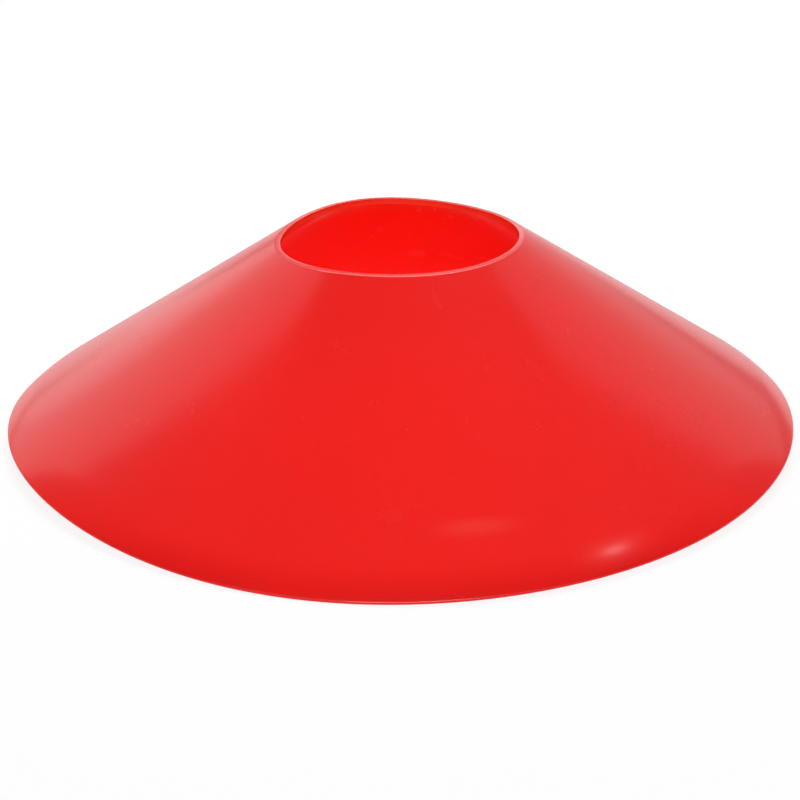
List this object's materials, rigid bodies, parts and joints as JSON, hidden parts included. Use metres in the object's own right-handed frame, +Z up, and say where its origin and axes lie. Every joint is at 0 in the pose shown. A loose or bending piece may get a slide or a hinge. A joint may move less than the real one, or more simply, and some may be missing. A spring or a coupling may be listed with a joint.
{
  "type": "sports marker cone",
  "caption": "Saucer-shaped marker cone: a thin soft plastic shell, open underneath, with a round hole in its top, that lies on a pitch to mark a spot.",
  "frame": {"origin": "centre of the base, on the surface that the cone stands on", "axes": "+Z up along the cone's axis; the cone is round, so +X and +Y are free, and -Y faces the picture's camera"},
  "size_m": [0.19, 0.19, 0.05],
  "materials": {
    "red_shell": "soft moulded polyethylene, satin, slightly translucent"
  },
  "bodies": {
    "root": {"cone_shell": "red_shell"}
  },
  "joints": []
}
